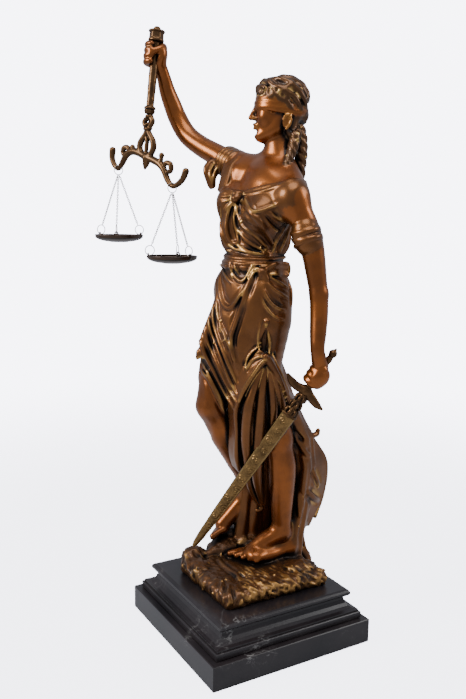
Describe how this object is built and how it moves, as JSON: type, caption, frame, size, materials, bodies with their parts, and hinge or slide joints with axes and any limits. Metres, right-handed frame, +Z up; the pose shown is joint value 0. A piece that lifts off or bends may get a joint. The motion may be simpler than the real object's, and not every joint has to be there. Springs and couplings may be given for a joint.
{
  "type": "lady justice statue",
  "caption": "Cast bronze figure of a blindfolded woman in draped dress, one arm raised with a balance and the other resting a sword on rocky ground, on a stepped square marble plinth.",
  "frame": {"origin": "middle of the plinth's underside", "axes": "+Z up, -Y towards her front, +X towards her left hand with the sword"},
  "size_m": [0.3365, 0.2528, 0.7499],
  "materials": {
    "bronze": "cast bronze with a chestnut-brown patina, rubbed golden on the ridges and nearly black in the hollows",
    "gilt": "pale worn gilt brass with brown in the chasing",
    "dark_bronze": "dark brown satin patina",
    "chain": "bright thin wire, slightly dulled",
    "marble": "polished black marble with sparse whitish veins"
  },
  "bodies": {
    "root": {"plinth_slab": "marble", "plinth_block": "marble", "figure": "bronze", "sword": "gilt", "balance_handle": "gilt", "balance_beam": "gilt", "near_top_ring": "chain", "near_chain_1": "chain", "near_chain_2": "chain", "near_chain_3": "chain", "near_pan_ring_1": "chain", "near_pan_ring_2": "chain", "near_pan_ring_3": "chain", "near_pan": "dark_bronze", "far_top_ring": "chain", "far_chain_1": "chain", "far_chain_2": "chain", "far_chain_3": "chain", "far_pan_ring_1": "chain", "far_pan_ring_2": "chain", "far_pan_ring_3": "chain", "far_pan": "dark_bronze"}
  },
  "joints": []
}
